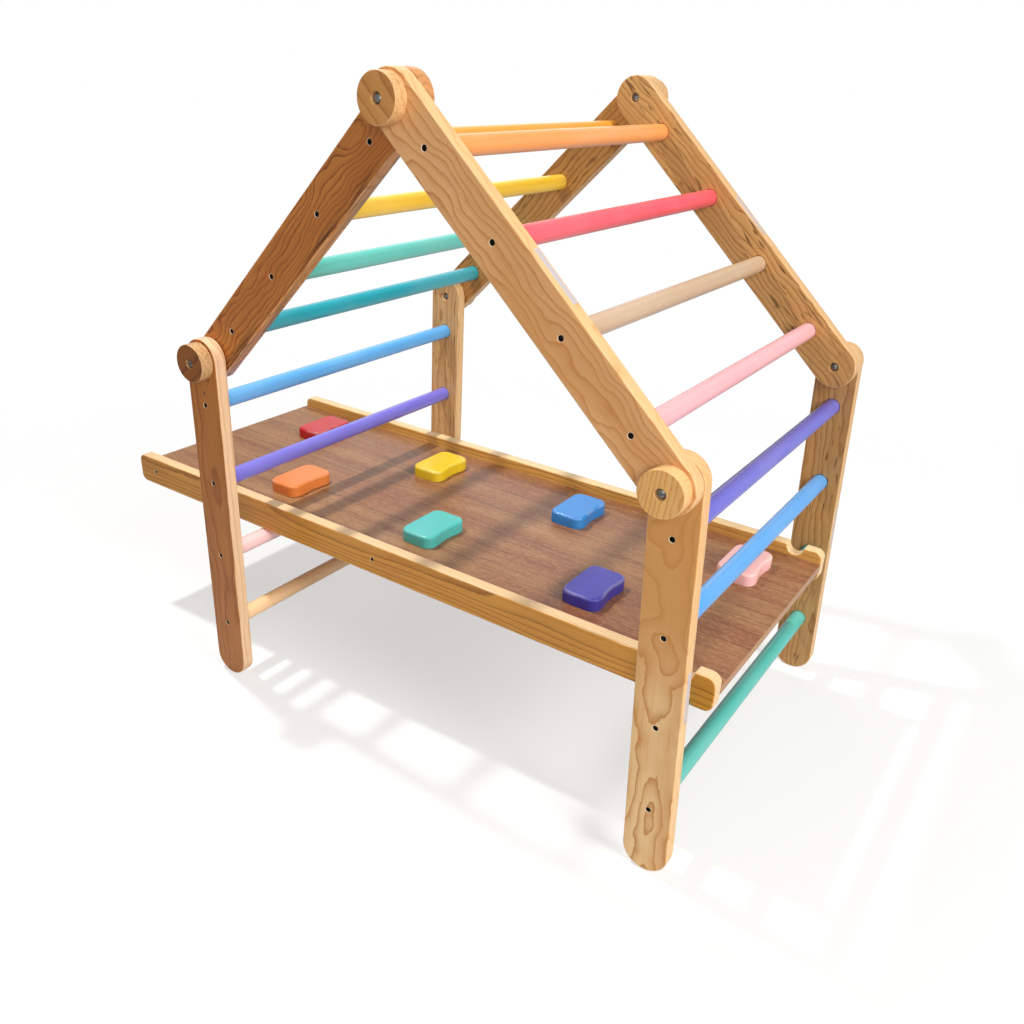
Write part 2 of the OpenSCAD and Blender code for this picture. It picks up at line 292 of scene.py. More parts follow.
def faceOutward(mesh):
    # neighbouring faces are made to agree, slivers on the flat caps too, and the closed shell to look outwards
    shell = bmesh.new()
    shell.from_mesh(mesh)
    bmesh.ops.recalc_face_normals(shell, faces=shell.faces)
    shell.to_mesh(mesh)
    shell.free()


def addPiece(name, points, faces, body, material, nodes=(), edge=None, sharpAngle=40, closed=True):
    mesh = bpy.data.meshes.new(name)
    mesh.from_pydata(points.tolist(), [], [f.tolist() for block in faces for f in block])
    mesh.update()
    if edge is not None:
        mesh.attributes.new("edge", "FLOAT", "POINT").data.foreach_set("value", edge.astype(np.float32))
    if closed:
        faceOutward(mesh)
    mesh.shade_smooth()
    mesh.set_sharp_from_angle(angle=math.radians(sharpAngle))
    mesh.materials.append(material)
    piece = bpy.data.objects.new(name, mesh)
    bpy.context.scene.collection.objects.link(piece)
    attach(piece, body)
    if nodes:
        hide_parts(*nodes)
    return piece


def signedArea(loop):
    nextPoint = np.roll(loop, -1, 0)
    return 0.5 * np.sum(loop[:, 0] * nextPoint[:, 1] - nextPoint[:, 0] * loop[:, 1])


def outwardNormals(loop):
    along = np.roll(loop, -1, 0) - np.roll(loop, 1, 0)
    along /= np.linalg.norm(along, axis=1)[:, None]
    return np.stack([along[:, 1], -along[:, 0]], -1)


plateSet = {"seam": 0.00035, "edgeSteps": 6, "boreSides": 40, "rimDepth": 0.001, "rimMark": 2.0, "wallShadeMark": 3.0}


def atDepths(rows, depths):
    # gives each row of (a, b) points its own depth
    level = np.broadcast_to(depths[:, None, None], (*rows.shape[:2], 1))
    return np.concatenate([rows, level], -1).reshape(-1, 3)


def capFaces(points, loops, sense):
    # fills a flat cap between its outline and its bores; the filler rounds its numbers, so it works in millimetres
    order = np.concatenate(loops)
    flat = [np.c_[points[loop, :2] * 1000, np.zeros(len(loop))].tolist() for loop in loops]
    found = order[np.array(tessellate_polygon(flat))]
    a, b, c = (points[found[:, k], :2] for k in range(3))
    turned = (b[:, 0] - a[:, 0]) * (c[:, 1] - a[:, 1]) - (b[:, 1] - a[:, 1]) * (c[:, 0] - a[:, 0])
    wrong = turned * sense < 0
    found[wrong] = found[wrong][:, ::-1]
    return found


def plate(outline, thickness, rounding, bores=()):
    # The closed outline is carried through the thickness on rings that are set in along its normals by r - r sin t
    # at depth r - r cos t, which rounds both edges. Each bore is a circle carried down its own (radius, depth) steps.
    # Points come out as (a, b, depth); the front cap is at depth 0 and looks towards less depth.
    if signedArea(outline) < 0:
        outline = outline[::-1]
    count, sidesOfBore, seam = len(outline), plateSet["boreSides"], plateSet["seam"]
    t = np.linspace(0, math.pi / 2, plateSet["edgeSteps"] + 1)
    front, back = rounding
    frontIn, backIn = front - front * np.sin(t), (back - back * np.sin(t))[::-1]
    frontDown, backUp = front - front * np.cos(t), (back - back * np.cos(t))[::-1]
    wornAndLit = np.sin(2 * t) ** 0.5
    inset = np.concatenate([[front + seam], frontIn, backIn, [back + seam]])
    depth = np.concatenate([[0], frontDown, thickness - backUp, [thickness]])
    edge = np.concatenate([[0], wornAndLit, wornAndLit[::-1], [0]])
    rings = outline[None] - inset[:, None, None] * outwardNormals(outline)[None]
    points, wearAndShade = [atDepths(rings, depth)], [np.repeat(edge, count)]
    quads, tris = [ringFaces(len(depth), count)], []
    frontLoops, backLoops = [np.arange(count)], [np.arange(count) + (len(depth) - 1) * count]
    total = len(points[0])
    for bore in bores:
        steps, fromBack = np.array(bore["steps"]), bore.get("fromBack", False)
        rows = np.asarray(bore["at"])[None, None] + steps[:, 0][:, None, None] * circle(sidesOfBore)[None]
        level = thickness - steps[:, 1] if fromBack else steps[:, 1]
        points.append(atDepths(rows, level))
        rim = plateSet["rimDepth"]
        shallow = (np.arange(len(steps)) > 0) & (steps[:, 1] < rim)
        # walls below the rim are marked for the near-black painted shade inside the hole
        deep = (steps[:, 1] >= rim) & (steps[:, 1] < thickness - rim)
        mark = (plateSet["rimMark"] * shallow + plateSet["wallShadeMark"] * deep) * bool(bore.get("rim"))
        wearAndShade.append(np.repeat(mark, sidesOfBore))
        wall = ringFaces(len(steps), sidesOfBore) + total
        quads.append(wall if fromBack else wall[:, ::-1])
        mouth, bottom = (backLoops, frontLoops) if fromBack else (frontLoops, backLoops)
        mouth.append(np.arange(sidesOfBore) + total)
        last = np.arange(sidesOfBore) + total + (len(steps) - 1) * sidesOfBore
        total += len(steps) * sidesOfBore
        if bore.get("through"):
            bottom.append(last)
        else:
            points.append(np.array([[*bore["at"], level[-1]]]))
            wearAndShade.append(np.zeros(1))
            fan = np.stack([last, np.roll(last, -1), np.full(sidesOfBore, total)], -1)
            tris.append(fan[:, ::-1] if fromBack else fan)
            total += 1
    points, wearAndShade = np.concatenate(points), np.concatenate(wearAndShade)
    tris += [capFaces(points, frontLoops, 1), capFaces(points, backLoops, -1)]
    return points, [np.concatenate(quads), np.concatenate(tris)], wearAndShade


def laid(points, faces, origin, axes):
    # moves (a, b, depth) points onto three world axes, turning the faces over where the axes are left-handed to them
    world = np.asarray(origin) + points @ np.array(axes)
    if np.linalg.det(np.array(axes)) > 0:
        faces = [f[:, ::-1] for f in faces]
    return world, faces


def stadium(length, width, arcSteps=36):
    turn = np.linspace(-math.pi / 2, math.pi / 2, arcSteps + 1)
    end = np.stack([np.cos(turn), np.sin(turn)], -1) * width / 2
    return np.concatenate([end + (length, 0), end * (-1, -1)])


def roundedLoop(corners, radii, steps=12):
    # each corner of the closed polygon is swapped for the arc that touches both of its sides
    corners = np.asarray(corners, float)
    radii = np.broadcast_to(radii, len(corners))[:, None]
    before, after = np.roll(corners, 1, 0) - corners, np.roll(corners, -1, 0) - corners
    before /= np.linalg.norm(before, axis=1)[:, None]
    after /= np.linalg.norm(after, axis=1)[:, None]
    half = np.arccos(np.clip(np.sum(before * after, 1), -1, 1))[:, None] / 2
    middle = corners + (before + after) / np.linalg.norm(before + after, axis=1)[:, None] * radii / np.sin(half)
    start = corners + before * radii / np.tan(half) - middle
    stop = corners + after * radii / np.tan(half) - middle
    sweep = (math.pi - 2 * half)[:, None, :]
    t = np.linspace(0, 1, steps + 1)[None, :, None]
    arc = (np.sin((1 - t) * sweep) * start[:, None] + np.sin(t * sweep) * stop[:, None]) / np.sin(sweep)
    return (middle[:, None] + arc).reshape(-1, 2)


def evenLoop(loop, spacing):
    # the same closed outline with its points evenly spaced
    closed = np.concatenate([loop, loop[:1]])
    run = np.concatenate([[0], np.cumsum(np.linalg.norm(np.diff(closed, axis=0), axis=1))])
    count = int(run[-1] / spacing)
    at = np.arange(count) * run[-1] / count
    return np.stack([np.interp(at, run, closed[:, 0]), np.interp(at, run, closed[:, 1])], -1)


def softened(loop, passes):
    # each pass moves every point halfway towards the middle of its two neighbours
    for _ in range(passes):
        loop = loop / 2 + (np.roll(loop, 1, 0) + np.roll(loop, -1, 0)) / 4
    return loop


def thinned(loop, least=3e-9):
    # a point that spans less area than this with its two neighbours is inside a straight run, and is left out
    before, after = loop - np.roll(loop, 1, 0), np.roll(loop, -1, 0) - loop
    return loop[np.abs(before[:, 0] * after[:, 1] - before[:, 1] * after[:, 0]) > least]


def boreSteps(radius, depth, rim=0.0007, seam=0.0002, wall=0.0006):
    # a straight bore with a small rounded rim
    return [(radius + rim + seam, 0), (radius + rim, 0), (radius + 0.3 * rim, 0.3 * rim), (radius, rim),
            (radius, rim + wall), (radius, depth)]


def turnOf(along):
    # turns a material's own axes so that its first runs along the piece
    return 0.0, -math.atan2(along[2], along[0]), 0.0


# wood
pineSet = {"gloss": 0.36, "coat": 0.16, "coatRoughness": 0.16, "specular": 0.32, "grainDepth": 0.0006,
           "grainBump": 0.16, "sideAndHighlightLate": "#CF9C62", "rim": "#F4DCC0", "holeShade": "#1B120C", "rubbedAndLit": "#F6D9AE",
           "mineral": "#2B1A0D", "fleck": "#4F2E12", "knot": "#3E2010"}
ringStops = [(0.0, (0, 0, 0)), (0.45, (0.1,) * 3), (0.72, (0.34,) * 3), (0.88, (0.8,) * 3), (0.93, (1, 1, 1)),
             (1.0, (0, 0, 0))]
# what a piece of pine has unless its own look says otherwise
usualPine = {"slowAlong": 3.0, "slowAcross": 9.0, "waveAlong": 13.0, "waveAcross": 16.0, "jag": 0.003, "taper": 0.0,
             "uneven": 1.2, "fill": 1.0, "blush": 0.5, "side": 0.65, "sideAndHighlightTone": "#E6BF8C"}


def pine(name, origin, turn, look):
    # growth rings are distances from a pith line that runs beside the piece, bent by slow noise and by waves along
    # it; a cut along them gives flames and islands, and a cut across gives arcs of end grain
    material, w, shader = newFinish(name)
    look = {**usualPine, **look}
    place = localPlace(w, origin, turn)
    apart = w.make("SeparateXYZ", inputs={0: place})
    along, depth, across = (Wire(w.tree, apart.socket.node.outputs[k]) for k in range(3))
    seed = look["seed"]
    slow = noise(w, place, (look["slowAlong"], 9.0, look["slowAcross"]), seed, 2.0) - 0.5
    wave = noise(w, place, (look["waveAlong"], 26.0, look["waveAcross"]), seed + 7, 1.0, 0.5) - 0.5
    jag = noise(w, place, (55.0, 150.0, 150.0), seed + 13, 2.0, 0.6) - 0.5
    inwards = depth - look["pith"][1]
    sideways = across - look["pith"][0]
    distance = w.maths("SQRT", inwards * inwards + sideways * sideways)
    bent = slow * look["sway"] + wave * look["wave"] + jag * look["jag"]
    phase = (distance + along * look["taper"] + bent) / look["ring"]
    yearly = noise(w, w.make("CombineXYZ", inputs={0: phase * 0.45}), (1.0, 1.0, 1.0), seed, 1.0) - 0.5
    phase = phase + yearly * look["uneven"]
    ring = w.maths("FRACT", phase)
    late = ring.make("ValToRGB", {"stops": ringStops}, {0: ring})
    fibre = noise(w, place, (9.0, 430.0, 430.0), seed + 3, 2.0, 0.6)
    broad = noise(w, place, (5.0, 30.0, 24.0), seed + 11, 2.0)
    streak = noise(w, place, (3.0, 150.0, 150.0), seed + 5, 2.0)
    late = late ** look["fill"]
    tone = blend(w, late, shade(look["light"]), shade(look["dark"]))
    tone = blend(w, broad.span(0.35, 0.72) * look["blush"], tone, shade(look["warm"]))
    tone = blend(w, fibre.span(0.42, 0.7) * 0.14, tone, shade(look["dark"]), "MULTIPLY")
    tone = blend(w, streak.span(0.48, 0.72) * 0.2, tone, shade(look["light"]), "SOFT_LIGHT")
    if "fleck" in look:
        fleck = noise(w, place, (34.0, 420.0, 260.0), seed + 17, 0.0)
        patch = noise(w, place, (7.0, 30.0, 30.0), seed + 18, 1.0).span(0.35, 0.6)
        tone = blend(w, fleck.span(0.66, 0.74) * patch * look["fleck"], tone, shade(pineSet["fleck"]))
    if "darkerEnd" in look:
        # the piece is darker and browner towards one end
        start, stop, strength = look["darkerEnd"]
        amount = along.span(start, stop) * strength
        tone = blend(w, amount, tone, blend(w, late * 0.5, shade(look["warm"]), shade(look["dark"])))
    if "mineral" in look:
        # dark streaks that hug the lower edge
        stain = noise(w, place, (6.0, 160.0, 160.0), seed + 19, 3.0, 0.6).span(0.44, 0.6)
        low = (0.0 - across).span(0.016, 0.034)
        near = low * noise(w, place, (4.0, 20.0, 20.0), seed + 20, 1.0).span(0.3, 0.55)
        tone = blend(w, stain * near * look["mineral"], tone, shade(pineSet["mineral"]))
    if "knot" in look:
        spot, level, size = look["knot"]
        away = w.maths("SQRT", (along - spot) * (along - spot) * 0.3 + (across - level) * (across - level)) / size
        tone = blend(w, (1.0 - away.span(0.5, 1.2)) * 0.85, tone, shade(pineSet["knot"]))
    # the narrow sides and the ends are cut the other way through the wood and are paler; the paleness is also a
    # painted highlight, the light that catches these sides
    facing = w.make("SeparateXYZ", inputs={0: w.make("TexCoord", output="Normal")}, output=1)
    side = 1.0 - w.maths("ABSOLUTE", facing).span(0.35, 0.85)
    # the face turned inwards takes the unshaded tone; the outward face keeps the darker tone, which holds painted
    # shade
    if "inner" in look:
        light, dark = look["inner"]
        tone = blend(w, facing.span(0.6, 0.9), tone, blend(w, late, shade(light), shade(dark)))
    amount = side * look["side"]
    tone = blend(w, amount, tone, blend(w, late * 0.5, shade(look["sideAndHighlightTone"]), shade(pineSet["sideAndHighlightLate"])))
    if "specks" in look:
        specks = noise(w, place, (520.0, 520.0, 520.0), seed + 23, 0.0).span(0.56, 0.66)
        tone = blend(w, specks * side * look["specks"], tone, shade(look["dark"]))
    edge = edgeWearAndShade(w)
    # rounded edges are paler in patches: sanded wood, and a painted highlight where the edges catch the light
    rubAndGlint = edge.span(0.0, 1.0) * noise(w, place, (30.0, 60.0, 60.0), seed + 21, 2.0).span(0.35, 0.65)
    tone = blend(w, rubAndGlint * 0.3, tone, shade(pineSet["rubbedAndLit"]))
    tone = blend(w, edge.span(1.2, 1.9) * 0.55, tone, shade(pineSet["rim"]))
    # bore walls are painted near black: painted shade inside screw holes, bolt holes and rung sockets
    tone = blend(w, edge.span(2.1, 2.5), tone, shade(pineSet["holeShade"]))
    rough = pineSet["gloss"] + fibre * 0.1 + late * 0.05 + rubAndGlint * 0.08
    grain = w.make("Bump", {}, {"Strength": pineSet["grainBump"], "Distance": pineSet["grainDepth"],
                                "Height": fibre * 0.4 + late * 0.4 + streak * 0.3})
    feed(w, shader, {"Base Color": tone, "Roughness": rough, "Normal": grain, "Coat Weight": pineSet["coat"],
                     "Coat Roughness": pineSet["coatRoughness"], "Specular IOR Level": pineSet["specular"]})
    return material


railLooks = {
    # the front rails of the left panels have darker, more orange tones: darker wood and painted shade of the left
    # side; their inner pair is the unshaded tone
    "left_leg_front": {"seed": 3.1, "pith": (0.012, 0.030), "ring": 0.0105, "sway": 0.045, "wave": 0.012,
                       "taper": 0.02, "light": "#BA752E", "dark": "#935015", "warm": "#9F5C1B",
                       "knot": (0.054, 0.001, 0.0022), "sideAndHighlightTone": "#FCDDB8", "inner": ("#D6A668", "#A87236")},
    "left_leg_back": {"seed": 8.4, "pith": (-0.010, -0.028), "ring": 0.0085, "sway": 0.045, "wave": 0.012,
                      "taper": 0.015, "light": "#DFB47C", "dark": "#B27D4C", "warm": "#BF915A", "fleck": 0.5},
    "left_roof_front": {"seed": 5.7, "pith": (0.060, 0.050), "ring": 0.0058, "sway": 0.030, "wave": 0.034,
                        "taper": 0.03, "light": "#CC8239", "dark": "#8C4715", "warm": "#B06627",
                        "mineral": 0.9, "side": 0.3, "inner": ("#D0A067", "#9F6A33")},
    "left_roof_back": {"seed": 9.9, "pith": (0.04, -0.04), "ring": 0.0080, "sway": 0.030, "wave": 0.020,
                       "taper": 0.03, "light": "#BF8D4E", "dark": "#8E5726", "warm": "#A77137", "fleck": 0.5},
    "right_roof_front": {"seed": 12.3, "pith": (-0.055, 0.050), "ring": 0.0082, "sway": 0.026, "wave": 0.036,
                         "taper": -0.03, "light": "#E7B279", "dark": "#C8874C", "warm": "#CB8E4D"},
    "right_roof_back": {"seed": 15.2, "pith": (0.055, -0.04), "ring": 0.0080, "sway": 0.026, "wave": 0.022,
                        "taper": 0.03, "light": "#D1A367", "dark": "#9C6635", "warm": "#B7834A", "fleck": 0.7},
    "right_leg_front": {"seed": 21.6, "pith": (0.002, 0.0262), "ring": 0.0088, "sway": 0.055, "wave": 0.030,
                        "taper": 0.012, "light": "#F0CB96", "dark": "#BF8140", "warm": "#CF924E", "uneven": 0.8,
                        "slowAlong": 2.4, "fill": 0.8, "darkerEnd": (0.40, 0.16, 0.9)},
    "right_leg_back": {"seed": 27.8, "pith": (0.03, -0.03), "ring": 0.0085, "sway": 0.035, "wave": 0.020,
                       "taper": 0.02, "light": "#C39760", "dark": "#956335", "warm": "#AF7E47", "fleck": 0.7},
}

railSet = {
    "width": 0.070, "thickness": 0.022, "edge": 0.0019,
    "socketGap": 0.0003, "socketDepth": 0.012, "socketEdge": 0.0008, "socketSeam": 0.0012,
    "screwRadius": 0.004, "screwDepth": 0.005, "shankRadius": 0.00205,
    "headRadius": 0.0075, "headDepth": 0.0046, "boltRadius": 0.00408,
    "sleeveRadius": 0.0053, "sleeveDepth": 0.0166,
}

rungRadius = boxSize("left_leg_rung_1")[0] / 2


def panelFrame(panel):
    # start pivot, direction along the panel and direction across it
    start = jointPlace[panelStart[panel]]
    last = boxMiddle(panel + "_rung_4")
    along = unit((last[0] - start[0], 0.0, last[2] - start[2]))
    across = np.array([-along[2], 0.0, along[0]])
    return np.array([start[0], 0.0, start[2]]), along, across


def panelLength():
    return float(np.linalg.norm(jointPlace["top_fold"] - jointPlace["left_fold"]))


def rungSpots(panel):
    start, along, across = panelFrame(panel)
    return [float((boxMiddle(f"{panel}_rung_{k}") - start) @ along) for k in rungNumbers]


def pivotBores(length, panel, nuts):
    spots = [0.0] if panel.endswith("leg") else [0.0, length]
    s = railSet
    if not nuts:
        return [{"at": (spot, 0.0), "through": True, "rim": True, "steps": boreSteps(s["boltRadius"], s["thickness"])}
                for spot in spots]
    steps = boreSteps(s["headRadius"], s["headDepth"])
    steps += [(s["sleeveRadius"], s["headDepth"]), (s["sleeveRadius"], s["sleeveDepth"])]
    steps += [(s["boltRadius"], s["sleeveDepth"]), (s["boltRadius"], s["thickness"])]
    return [{"at": (spot, 0.0), "through": True, "fromBack": True, "steps": steps} for spot in spots]


def rungHole():
    # from the outer face: the screw head's hole, the shank's, then the socket that the rung's end sits in
    s = railSet
    floor, socket = s["thickness"] - s["socketDepth"], rungRadius + s["socketGap"]
    steps = boreSteps(s["screwRadius"], s["screwDepth"])
    steps += [(s["shankRadius"], s["screwDepth"]), (s["shankRadius"], floor), (socket, floor)]
    steps += [(socket, s["thickness"] - s["socketEdge"]), (rungRadius + s["socketEdge"], s["thickness"])]
    return steps + [(rungRadius + s["socketSeam"], s["thickness"])]


def makeRail(panel, side):
    start, along, across = panelFrame(panel)
    node = f"{panel}_{side}_rail"
    outer = outerFace(node, side)
    s, length = railSet, panelLength()
    nuts = (panel in ("left_roof", "right_leg")) == (side == "front")
    bores = pivotBores(length, panel, nuts)
    bores += [{"at": (spot, 0.0), "through": True, "rim": True, "steps": rungHole()} for spot in rungSpots(panel)]
    points, faces, wearAndShade = plate(stadium(length, s["width"]), s["thickness"], (s["edge"], s["edge"]), bores)
    points, faces = laid(points, faces, (start[0], outer, start[2]), (along, across, (0.0, sides[side], 0.0)))
    name = f"{panel}_{side}"
    origin = start[0], float(boxMiddle(node)[1]), start[2]
    material = pine("pine " + name, origin, turnOf(along), railLooks[name])
    addPiece(node + "_piece", points, faces, panel, material, (node,), wearAndShade)


# rungs
paintSet = {
    "left_leg": ["#5AA8E7", "#746CD2", "#F7CACA", "#F8CB99"],
    "left_roof": ["#129EAE", "#5BC2B8", "#F6CB34", "#E19F3A"],
    "right_roof": ["#ED9E56", "#EC5362", "#C4A788", "#EFADB3"],
    "right_leg": ["#6B69CA", "#58A1E2", "#16A3A3", "#50B5AA"],
}
rungSet = {"sides": 56, "rows": 60, "chamfer": 0.0012, "pilotRadius": 0.00205, "pilotDepth": 0.035, "swell": 0.00012,
           "longWave": 9.0, "shortWave": 23.0}


def paintedDowel(name, code, middle, seed):
    material, w, shader = newFinish(name)
    place = localPlace(w, middle, (0.0, 0.0, 0.0))
    brush = noise(w, place, (420.0, 7.0, 420.0), seed, 3.0, 0.6)
    cloud = noise(w, place, (16.0, 6.0, 16.0), seed + 4, 2.0)
    speck = noise(w, place, (900.0, 240.0, 900.0), seed + 9, 1.0)
    base = shade(code)
    pale = tuple(min(1.0, c * 0.82 + 0.16) for c in base)
    deep = tuple(c * 0.78 for c in base)
    tone = blend(w, cloud.span(0.38, 0.68) * 0.3, base, pale)
    tone = blend(w, brush.span(0.48, 0.72) * 0.3, tone, deep)
    tone = blend(w, speck.span(0.74, 0.8) * 0.3, tone, pale)
    bump = w.make("Bump", {}, {"Strength": 0.12, "Distance": 0.0005, "Height": brush * 0.8 + speck * 0.2})
    feed(w, shader, {"Base Color": tone, "Roughness": 0.3 + brush * 0.14, "Normal": bump,
                     "Coat Weight": 0.4, "Coat Roughness": 0.09})
    return material


def makeRung(panel, number, seed):
    # the radius is a function of the place along the dowel and of the angle round it: pole, pilot hole, chamfer,
    # then a hand-sanded swell of a tenth of a millimetre; the far end repeats the near one, mirrored
    node = f"{panel}_rung_{number}"
    middle, half = boxMiddle(node), boxSize(node)[1] / 2
    s = rungSet
    inner = np.linspace(-half + s["chamfer"], half - s["chamfer"], s["rows"])
    hole = [(s["pilotRadius"], -half + s["pilotDepth"]), (s["pilotRadius"], -half),
            (rungRadius - s["chamfer"], -half)]
    radius = np.concatenate([[r for r, _ in hole], np.full(s["rows"], rungRadius), [r for r, _ in hole[::-1]]])
    spot = np.concatenate([[y for _, y in hole], inner, [-y for _, y in hole[::-1]]])
    angle = np.arange(s["sides"]) * 2 * math.pi / s["sides"]
    t, y = np.meshgrid(angle, spot)
    slow, quick = np.sin(s["longWave"] * y + seed) * np.cos(t + seed), np.sin(s["shortWave"] * y + 2.1 * seed)
    swell = s["swell"] * (slow + 0.5 * quick)
    body = (radius > rungRadius - 0.0001)[:, None]
    r = radius[:, None] - np.where(body, s["swell"] * 1.5 - swell, 0.0)
    rings = np.stack([middle[0] + r * np.cos(t), middle[1] + y, middle[2] - r * np.sin(t)], -1)
    count, total = s["sides"], rings.shape[0] * s["sides"]
    poles = np.array([[middle[0], middle[1] + end, middle[2]] for end in (spot[0], spot[-1])])
    first, last = np.arange(count), np.arange(count) + total - count
    caps = np.concatenate([np.stack([np.full(count, total), first, np.roll(first, -1)], -1),
                           np.stack([last, np.full(count, total + 1), np.roll(last, -1)], -1)])
    points = np.concatenate([rings.reshape(-1, 3), poles])
    faces = [ringFaces(rings.shape[0], count), caps]
    material = paintedDowel("paint " + node, paintSet[panel][number - 1], middle, seed)
    addPiece(node + "_piece", points, faces, panel, material, (node,))


# knob discs
discSet = {"headRadius": 0.0075, "headDepth": 0.0046, "neckRadius": 0.0058, "neckDepth": 0.0096,
           "boltRadius": 0.00408, "edge": 0.0014, "sides": 120}
plainDisc = {"sway": 0.006, "wave": 0.003, "light": "#D3A163", "dark": "#A66A2E", "warm": "#BC8344", "specks": 0.6}
discLooks = {
    # the left front disc's dark tones are darker wood and painted shade of the left side
    "left_front": {"seed": 31.0, "pith": (0.02, 0.07), "ring": 0.0085, "sway": 0.008, "wave": 0.003,
                   "light": "#995918", "dark": "#6A3509", "warm": "#78400E", "lean": 40, "specks": 0.6},
    "top_front": {"seed": 33.0, "pith": (0.030, 0.024), "ring": 0.0125, "sway": 0.012, "wave": 0.004,
                  "light": "#D69D5A", "dark": "#B27033", "warm": "#BC7D3B", "lean": -42, "specks": 0.6},
    "right_front": {"seed": 36.0, "pith": (-0.05, 0.06), "ring": 0.0036, "sway": 0.006, "wave": 0.003,
                    "light": "#EBB873", "dark": "#CF8E4A", "warm": "#D0954D", "lean": 84, "specks": 0.6},
    "left_back": {**plainDisc, "seed": 39.0, "pith": (0.03, 0.05), "ring": 0.0065, "lean": 70},
    "top_back": {**plainDisc, "seed": 42.0, "pith": (-0.03, 0.06), "ring": 0.0068, "lean": 15},
    "right_back": {**plainDisc, "seed": 45.0, "pith": (0.02, 0.07), "ring": 0.0065, "lean": 110},
}


def makeDisc(pivot):
    node = pivot + "_knob_disc"
    s, size, middle = discSet, boxSize(node), boxMiddle(node)
    side = "front" if pivot.endswith("front") else "back"
    outline = circle(s["sides"]) * size[0] / 2
    steps = boreSteps(s["headRadius"], s["headDepth"])
    steps += [(s["neckRadius"], s["headDepth"]), (s["neckRadius"], s["neckDepth"])]
    steps += [(s["boltRadius"], s["neckDepth"]), (s["boltRadius"], size[1])]
    bores = [{"at": (0, 0), "through": True, "steps": steps}]
    points, faces, wearAndShade = plate(outline, size[1], (s["edge"], s["edge"]), bores)
    origin, axes = (middle[0], outerFace(node, side), middle[2]), ((1.0, 0, 0), (0, 0, 1.0), (0.0, sides[side], 0.0))
    points, faces = laid(points, faces, origin, axes)
    look = discLooks[pivot]
    material = pine("pine " + node, middle, (0.0, -math.radians(look["lean"]), 0.0), look)
    addPiece(node + "_piece", points, faces, pivot + "_knob", material, (node,), wearAndShade)


# climbing board
boardSet = {"railHeight": 0.056, "railThickness": 0.022, "cornerRadius": 0.014, "lipRadius": 0.0019, "edge": 0.0026,
            "plyThickness": 0.015, "notchInset": 0.048, "notchGap": 0.0005, "mouth": 0.002,
            "screwInset": 0.046, "screwCount": 3, "screwSink": 0.001, "screwHeadRadius": 0.00335,
            "screwHeadHeight": 0.0024, "screwShank": 0.00165, "spacing": 0.0007, "softening": 8}


def boardFrame():
    # hook rung centre, direction along the board and direction square to it
    along = boxMiddle("pink_hold") - boxMiddle("red_hold")
    along = unit((along[0], 0.0, along[2]))
    return jointPlace["board_tilt"], along, np.array([-along[2], 0.0, along[0]])


def boardLength():
    along = boardFrame()[1]
    size = boxSize("plywood_panel")
    lean = math.atan2(abs(along[2]), along[0])
    return float((size[0] - boardSet["plyThickness"] * math.sin(lean)) / math.cos(lean))


def boardRailOutline(length):
    # a rounded bar with a half-round notch in each long edge; its origin is the middle of the hook rung
    s = boardSet
    right, left = s["notchInset"], s["notchInset"] - length
    low, high = -s["mouth"], s["railHeight"] - s["mouth"]
    seat = rungRadius + s["notchGap"]
    lowNotch, highNotch = low + s["mouth"] + seat, high - s["mouth"] - seat
    corners = [(left, low), (-seat, low), (-seat, lowNotch), (seat, lowNotch), (seat, low), (right, low),
               (right, high), (seat, high), (seat, highNotch), (-seat, highNotch), (-seat, high), (left, high)]
    lip = s["lipRadius"]
    radii = np.array([s["cornerRadius"], lip, seat * 0.999, seat * 0.999, lip, s["cornerRadius"]] * 2)
    return thinned(softened(evenLoop(roundedLoop(corners, radii), s["spacing"]), s["softening"]))


boardLooks = {
    "front": {"seed": 51.0, "pith": (0.052, 0.022), "ring": 0.0064, "sway": 0.040, "wave": 0.006, "taper": 0.004,
              "light": "#D8983C", "dark": "#9F631D", "warm": "#B47629"},
    "back": {"seed": 54.0, "pith": (0.060, -0.03), "ring": 0.0064, "sway": 0.030, "wave": 0.006, "taper": 0.004,
             "light": "#E2AF60", "dark": "#B17733", "warm": "#C99346"},
}
boardPine = {"slowAlong": 1.5, "slowAcross": 7.0, "waveAlong": 7.0, "jag": 0.0016, "sideAndHighlightTone": "#F3DDB4"}


def sunkHead():
    # the mouth that a screw head leaves in the outer face: a small pressed rim, then the sunk wall
    head = boardSet["screwHeadRadius"]
    return [(head + 0.0009, 0), (head + 0.0007, 0), (head + 0.0002, 0.0002), (head, 0.0005),
            (head, boardSet["screwSink"])]


def makeBoardRail(side):
    node = f"board_{side}_rail"
    hook, along, across = boardFrame()
    s, length = boardSet, boardLength()
    first, run = s["notchInset"] - length + s["screwInset"], length - 2 * s["screwInset"]
    spots = [first + k * run / (s["screwCount"] - 1) for k in range(s["screwCount"])]
    level = s["railHeight"] / 2 - s["mouth"]
    steps = sunkHead()
    steps += [(s["screwShank"], s["screwSink"] + s["screwHeadHeight"]), (s["screwShank"], s["railThickness"])]
    bores = [{"at": (spot, level), "through": True, "rim": True, "steps": steps} for spot in spots]
    points, faces, wearAndShade = plate(boardRailOutline(length), s["railThickness"], (s["edge"], s["edge"]), bores)
    outer = outerFace(node, side)
    points, faces = laid(points, faces, (hook[0], outer, hook[2]), (along, across, (0.0, sides[side], 0.0)))
    origin, look = (hook[0], float(boxMiddle(node)[1]), hook[2]), {**boardPine, **boardLooks[side]}
    material = pine("pine " + node, origin, turnOf(along), look)
    addPiece(node + "_piece", points, faces, "board", material, (node,), wearAndShade)


plySet = {"edge": 0.0006, "corner": 0.0015, "plies": 7, "face": "#8A5735", "deep": "#653320", "pale": "#A47A4E",
          "pore": "#4E2C1C", "mottle": "#C89E7C", "lightPly": "#C69A6C", "darkPly": "#8D5A38"}


